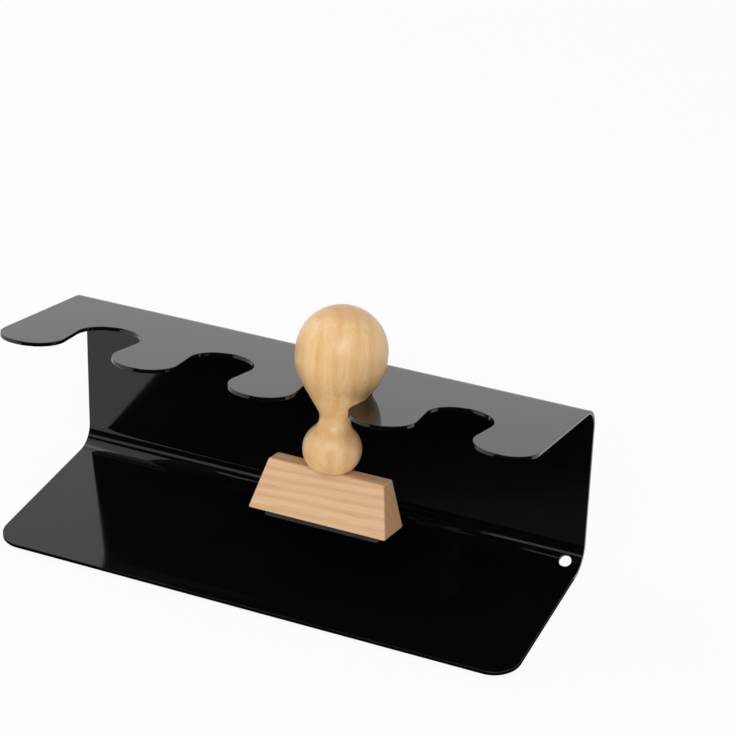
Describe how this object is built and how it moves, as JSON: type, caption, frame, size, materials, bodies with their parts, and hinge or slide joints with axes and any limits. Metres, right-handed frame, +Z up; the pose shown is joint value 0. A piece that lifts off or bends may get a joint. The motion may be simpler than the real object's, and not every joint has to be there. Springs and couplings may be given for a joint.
{
  "type": "rubber stamp rack",
  "caption": "Desk rack bent from one gloss black sheet: flat base, leaning back and a sloping shelf with open slots, with a wooden hand stamp hanging in a slot.",
  "frame": {"origin": "on the desk, under the middle of the rack's length and depth", "axes": "+X along the rack to the right, -Y towards the open front with the slots, +Z up"},
  "size_m": [0.18, 0.0688, 0.0952],
  "materials": {
    "rack_coat": "gloss black coating",
    "pad_rubber": "matt black",
    "handle_wood": "turned beech, lacquered",
    "screw_steel": "zinc plated",
    "block_wood": "planed beech, bare",
    "die_rubber": "moulded, matt dark grey"
  },
  "bodies": {
    "rack": {"rack": "rack_coat", "pad_front_left": "pad_rubber", "pad_front_right": "pad_rubber", "pad_rear_left": "pad_rubber", "pad_rear_right": "pad_rubber"},
    "stamp": {"stamp_handle": "handle_wood", "handle_screw": "screw_steel", "stamp_block": "block_wood", "rubber_die": "die_rubber"}
  },
  "joints": [
    {"name": "stamp_slide", "type": "slide", "parent": "rack", "child": "stamp", "axis": [0, -0.7431, 0.6691], "range_m": [0, 0.07]}
  ]
}
